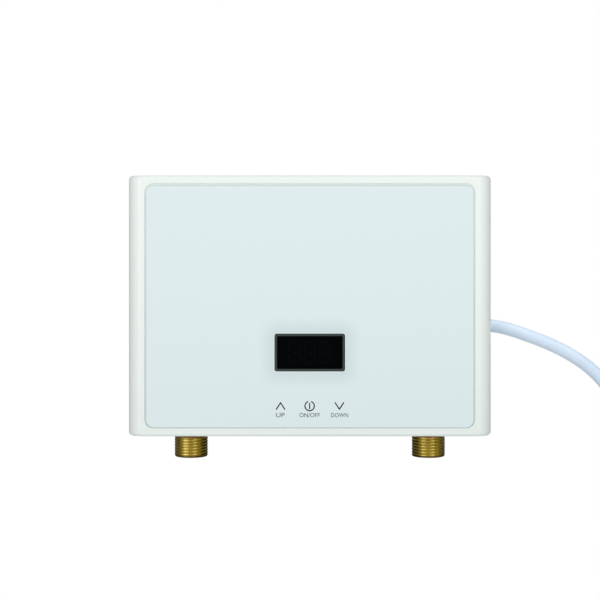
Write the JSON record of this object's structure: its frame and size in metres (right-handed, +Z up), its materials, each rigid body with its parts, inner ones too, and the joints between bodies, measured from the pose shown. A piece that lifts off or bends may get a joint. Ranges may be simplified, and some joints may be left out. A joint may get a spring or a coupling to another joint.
{
  "type": "tankless water heater",
  "caption": "Wall-hung instant electric water heater with a touch glass front, brass water fittings below and a mains lead with its plug.",
  "frame": {"origin": "middle of the back face, on the wall", "axes": "+Y into the wall, +Z up, +X to the right seen from the front, along the case's longest side"},
  "size_m": [0.3961, 0.0522, 0.4352],
  "materials": {
    "white_plastic": "smooth moulded, satin",
    "pale_glass": "clear glass, pale print on its back",
    "dark_trim": "fine satin",
    "black_lens": "polished, dark tinted",
    "brass": "machined",
    "cast_aluminium": "cast",
    "zinc_steel": "zinc plated",
    "copper": "drawn copper tube",
    "black_rubber": "matt",
    "circuit_board": "green board",
    "black_resin": "moulded resin",
    "inner_nylon": "natural nylon",
    "red_button": "moulded",
    "cord_sheath": "soft extruded sheath",
    "plug_plastic": "moulded"
  },
  "bodies": {
    "heater": {"back_shell": "white_plastic", "front_cover": "white_plastic", "cord_bush": "white_plastic", "glass_panel": "pale_glass", "display_frame": "dark_trim", "display_lens": "black_lens", "inlet_fitting": "brass", "outlet_fitting": "brass", "plug_pin_left": "brass", "plug_pin_right": "brass", "heating_block": "cast_aluminium", "case_screw_1": "zinc_steel", "case_screw_2": "zinc_steel", "case_screw_3": "zinc_steel", "case_screw_4": "zinc_steel", "hanger_plate_left": "zinc_steel", "hanger_plate_right": "zinc_steel", "fitting_screw_1": "zinc_steel", "fitting_screw_2": "zinc_steel", "fitting_screw_3": "zinc_steel", "fitting_screw_4": "zinc_steel", "inlet_strainer": "zinc_steel", "impeller_shaft": "zinc_steel", "element_terminal_left": "zinc_steel", "element_terminal_right": "zinc_steel", "block_strap_left": "zinc_steel", "block_strap_right": "zinc_steel", "strap_screw_left": "zinc_steel", "strap_screw_right": "zinc_steel", "clamp_screw_1": "zinc_steel", "clamp_screw_2": "zinc_steel", "inlet_pipe": "copper", "outlet_pipe": "copper", "cover_gasket": "black_rubber", "panel_pad": "black_rubber", "touch_pad_up": "black_rubber", "touch_pad_power": "black_rubber", "touch_pad_down": "black_rubber", "cord_tie": "black_rubber", "display_board": "circuit_board", "power_board": "circuit_board", "led_module": "black_resin", "hall_sensor": "black_resin", "cutout_auto": "black_resin", "cutout_manual": "black_resin", "mains_relay": "black_resin", "heater_triac": "black_resin", "flow_sensor_body": "inner_nylon", "outlet_sensor": "inner_nylon", "supply_module": "inner_nylon", "terminal_block": "inner_nylon", "cord_clamp": "inner_nylon", "cord_run": "cord_sheath", "cord_hank": "cord_sheath", "cord_tail": "cord_sheath", "inner_lead": "cord_sheath", "plug_body": "plug_plastic"},
    "impeller": {"flow_impeller": "inner_nylon"},
    "reset": {"reset_button": "red_button"}
  },
  "joints": [
    {"name": "impeller_spin", "type": "hinge", "parent": "heater", "child": "impeller", "pos_m": [0.075, -0.0273, -0.04645], "axis": [0, 0, 1], "continuous": true},
    {"name": "reset_press", "type": "slide", "parent": "heater", "child": "reset", "axis": [0, 1, 0], "range_m": [0, 0.001], "stiffness_N_per_m": 300, "springref_m": -0.0005}
  ]
}
